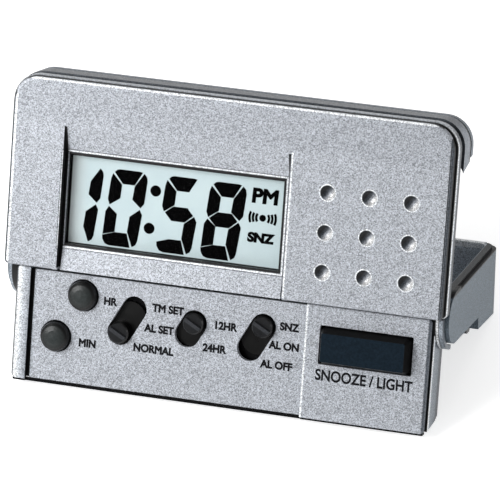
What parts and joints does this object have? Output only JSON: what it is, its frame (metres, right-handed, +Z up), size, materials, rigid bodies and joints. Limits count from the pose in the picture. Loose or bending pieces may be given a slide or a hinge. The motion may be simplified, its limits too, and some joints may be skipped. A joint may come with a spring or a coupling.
{
  "type": "folding travel alarm clock",
  "caption": "Digital travel alarm clock with a recessed display, slide switches, push buttons, a snooze bar and a hinged tray stand that folds over the back.",
  "frame": {"origin": "centre of the footprint, on the table", "axes": "+X to the right along the clock's length, -Y towards the person reading it, +Z up"},
  "size_m": [0.101, 0.0524, 0.0625],
  "materials": {
    "silver_plastic": "silver metallic paint with a fine sparkle",
    "graphite_plastic": "dark bluish silver metallic paint",
    "black_plastic": "satin black moulding",
    "slate_plastic": "satin dark slate moulding",
    "black_rubber": "matte black",
    "steel": "plated",
    "clear_plastic": "clear",
    "display": "pale green liquid crystal display",
    "white_plastic": "milky white",
    "connector_rubber": "layered elastomer strip",
    "circuit_board": "green solder mask",
    "ribbon": "amber film",
    "brass": "bare",
    "red_plastic": "wire jacket",
    "cell_jacket": "plain printed sleeve"
  },
  "bodies": {
    "case": {"display_bezel": "silver_plastic", "case_frame": "graphite_plastic", "rear_cover": "graphite_plastic", "top_cover": "graphite_plastic", "battery_door": "graphite_plastic", "cover_screw_1": "steel", "cover_screw_2": "steel", "cover_screw_3": "steel", "cover_screw_4": "steel", "top_screw_1": "steel", "top_screw_2": "steel", "door_screw": "steel", "control_panel": "silver_plastic", "button_membrane": "black_rubber", "snooze_membrane": "black_rubber", "time_set_switch": "black_plastic", "hour_format_switch": "black_plastic", "alarm_switch": "black_plastic", "display_lens": "clear_plastic", "display_glass": "display", "light_guide": "white_plastic", "backlight_led": "white_plastic", "display_connector": "connector_rubber", "main_board": "circuit_board", "clock_chip": "black_plastic", "quartz_crystal": "steel", "control_board": "circuit_board", "board_ribbon": "ribbon", "buzzer_disc": "brass", "buzzer_lead_1": "red_plastic", "buzzer_lead_2": "black_plastic", "battery_cell": "cell_jacket", "positive_contact": "steel", "negative_contact": "steel", "hinge_pin_left": "steel", "hinge_pin_right": "steel"},
    "stand": {"stand": "graphite_plastic", "stand_pad_left": "black_rubber", "stand_pad_right": "black_rubber"},
    "hour_button": {"hour_button": "black_rubber"},
    "minute_button": {"minute_button": "black_rubber"},
    "snooze_button": {"snooze_button": "slate_plastic"},
    "time_set_knob": {"time_set_knob": "black_plastic"},
    "hour_format_knob": {"hour_format_knob": "black_plastic"},
    "alarm_knob": {"alarm_knob": "black_plastic"}
  },
  "joints": [
    {"name": "stand_hinge", "type": "hinge", "parent": "case", "child": "stand", "pos_m": [0, -0.00709, 0.02025], "axis": [1, 0, 0], "range_deg": [0, 81.6]},
    {"name": "hour_button_press", "type": "slide", "parent": "case", "child": "hour_button", "axis": [0, 0.8818, -0.4716], "range_m": [0, 0.0008], "stiffness_N_per_m": 1200, "springref_m": -0.0003},
    {"name": "minute_button_press", "type": "slide", "parent": "case", "child": "minute_button", "axis": [0, 0.8818, -0.4716], "range_m": [0, 0.0008], "stiffness_N_per_m": 1200, "springref_m": -0.0003},
    {"name": "snooze_press", "type": "slide", "parent": "case", "child": "snooze_button", "axis": [0, 0.8818, -0.4716], "range_m": [0, 0.0012], "stiffness_N_per_m": 1200, "springref_m": -0.0003},
    {"name": "time_set_slide", "type": "slide", "parent": "case", "child": "time_set_knob", "axis": [0.4818, 0.4133, 0.7727], "range_m": [0, 0.0063]},
    {"name": "hour_format_slide", "type": "slide", "parent": "case", "child": "hour_format_knob", "axis": [0.4818, 0.4133, 0.7727], "range_m": [-0.00315, 0]},
    {"name": "alarm_slide", "type": "slide", "parent": "case", "child": "alarm_knob", "axis": [0.4818, 0.4133, 0.7727], "range_m": [-0.0059, 0]}
  ]
}
